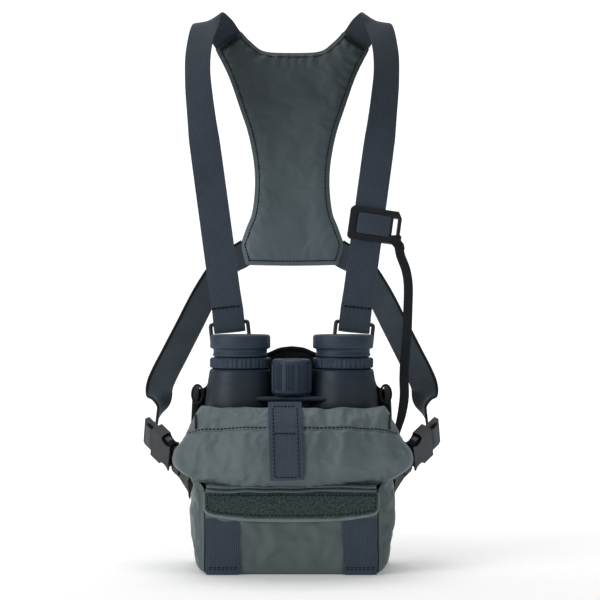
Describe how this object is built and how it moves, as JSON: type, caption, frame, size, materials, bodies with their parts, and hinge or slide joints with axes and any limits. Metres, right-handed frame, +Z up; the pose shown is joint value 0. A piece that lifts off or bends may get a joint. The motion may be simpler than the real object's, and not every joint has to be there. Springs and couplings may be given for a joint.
{
  "type": "binocular harness pack",
  "caption": "Chest pouch for binoculars with a front-opening lid, shoulder straps, padded back yoke, side-release buckles and the binoculars it carries.",
  "frame": {"origin": "centre of the pouch's flat bottom, on the surface it stands on", "axes": "+Z up along the harness, -Y out of the pouch's front, +X to the right of someone facing the front"},
  "size_m": [0.2272, 0.1671, 0.4256],
  "materials": {
    "coated_fabric": "matt coated polyester, grey-green",
    "yoke_fabric": "matt woven polyester, dark grey-green",
    "webbing": "ribbed polyester webbing, dark navy grey",
    "loop_pile": "fuzzy loop tape",
    "binding": "black woven tape",
    "foam": "closed-cell foam in spacer mesh",
    "buckle": "moulded acetal, fine satin",
    "wire": "black moulded rings",
    "armour": "rubber armour, blue-black",
    "rubber": "grip rubber, dark grey-blue",
    "lens": "coated glass"
  },
  "bodies": {
    "pack": {"back_pad": "foam", "back_panel": "coated_fabric", "base_foam": "foam", "base_panel": "coated_fabric", "buckle_plug_left": "buckle", "buckle_plug_right": "buckle", "front_flap": "coated_fabric", "front_panel": "coated_fabric", "front_webbing_left": "webbing", "front_webbing_right": "webbing", "gusset_left": "coated_fabric", "gusset_right": "coated_fabric", "hinge_strip": "coated_fabric", "loop_strip": "loop_pile", "rim_binding_left": "binding", "rim_binding_right": "binding", "ring_loop_left": "webbing", "ring_loop_right": "webbing", "shoulder_strap_left": "webbing", "shoulder_strap_right": "webbing", "side_strap_left": "webbing", "side_strap_right": "webbing", "side_strap_tail_left": "webbing", "side_strap_tail_right": "webbing", "side_tab_left": "webbing", "side_tab_right": "webbing", "strap_ring_left": "wire", "strap_ring_right": "wire", "tether": "binding", "yoke_foam": "foam", "yoke_lining": "yoke_fabric", "yoke_shell": "yoke_fabric"},
    "lid": {"lid_panel": "coated_fabric", "lid_skirt": "coated_fabric", "lid_lining": "foam", "lid_tab": "webbing"},
    "binoculars": {"barrel_left": "armour", "barrel_right": "armour", "bridge": "armour", "objective_lens_left": "lens", "objective_lens_right": "lens", "eyepiece_lens_left": "lens", "eyepiece_lens_right": "lens", "lug_loop_left": "binding", "lug_loop_right": "binding"},
    "focus_knob": {"focus_knob": "rubber"},
    "diopter_ring": {"diopter_ring": "rubber"},
    "eyecup_left": {"eyecup_left": "rubber"},
    "eyecup_right": {"eyecup_right": "rubber"},
    "keeper": {"keeper": "buckle"},
    "buckle_left": {"buckle_socket_left": "buckle", "strap_end_loop_left": "webbing"},
    "prong_upper_left": {"prong_upper_left": "buckle"},
    "prong_lower_left": {"prong_lower_left": "buckle"},
    "buckle_right": {"buckle_socket_right": "buckle", "strap_end_loop_right": "webbing"},
    "prong_upper_right": {"prong_upper_right": "buckle"},
    "prong_lower_right": {"prong_lower_right": "buckle"}
  },
  "joints": [
    {"name": "lid_hinge", "type": "hinge", "parent": "pack", "child": "lid", "pos_m": [0, -0.04, 0.061], "axis": [1, 0, 0], "range_deg": [-4, 95]},
    {"name": "binoculars_lift", "type": "slide", "parent": "pack", "child": "binoculars", "axis": [0, 0, 1], "range_m": [0, 0.175]},
    {"name": "focus_turn", "type": "hinge", "parent": "binoculars", "child": "focus_knob", "pos_m": [0, -0.012, 0.1286], "axis": [0, 0, 1], "range_deg": [-270, 270]},
    {"name": "diopter_turn", "type": "hinge", "parent": "binoculars", "child": "diopter_ring", "pos_m": [0.038, -0.0015, 0.1479], "axis": [0, 0, 1], "range_deg": [-40, 40]},
    {"name": "eyecup_left_extend", "type": "slide", "parent": "binoculars", "child": "eyecup_left", "axis": [0, 0, 1], "range_m": [0, 0.005]},
    {"name": "eyecup_right_extend", "type": "slide", "parent": "binoculars", "child": "eyecup_right", "axis": [0, 0, 1], "range_m": [0, 0.005]},
    {"name": "keeper_slide", "type": "slide", "parent": "pack", "child": "keeper", "axis": [0.1372, 0.0868, 0.9867], "range_m": [0, 0.015]},
    {"name": "buckle_left_release", "type": "slide", "parent": "pack", "child": "buckle_left", "axis": [-0.6603, 0.5002, 0.5602], "range_m": [0, 0.016], "deforming": ["side_strap_tail_left"]},
    {"name": "prong_upper_left_squeeze", "type": "hinge", "parent": "pack", "child": "prong_upper_left", "pos_m": [-0.08764, 0.0094, 0.08652], "axis": [-0.7426, -0.5466, -0.3871], "range_deg": [0, 6], "stiffness_Nm_per_rad": 0.02},
    {"name": "prong_lower_left_squeeze", "type": "hinge", "parent": "pack", "child": "prong_lower_left", "pos_m": [-0.08947, 0.02028, 0.07465], "axis": [-0.7426, -0.5466, -0.3871], "range_deg": [-6, 0], "stiffness_Nm_per_rad": 0.02},
    {"name": "buckle_right_release", "type": "slide", "parent": "pack", "child": "buckle_right", "axis": [0.6603, 0.5002, 0.5602], "range_m": [0, 0.016], "deforming": ["side_strap_tail_right"]},
    {"name": "prong_upper_right_squeeze", "type": "hinge", "parent": "pack", "child": "prong_upper_right", "pos_m": [0.08764, 0.0094, 0.08652], "axis": [-0.7426, 0.5466, 0.3871], "range_deg": [0, 6], "stiffness_Nm_per_rad": 0.02},
    {"name": "prong_lower_right_squeeze", "type": "hinge", "parent": "pack", "child": "prong_lower_right", "pos_m": [0.08947, 0.02028, 0.07465], "axis": [-0.7426, 0.5466, 0.3871], "range_deg": [-6, 0], "stiffness_Nm_per_rad": 0.02}
  ],
  "couplings": [
    {"joint": "prong_lower_left_squeeze", "follows": "prong_upper_left_squeeze", "ratio": -1},
    {"joint": "prong_lower_right_squeeze", "follows": "prong_upper_right_squeeze", "ratio": -1}
  ]
}
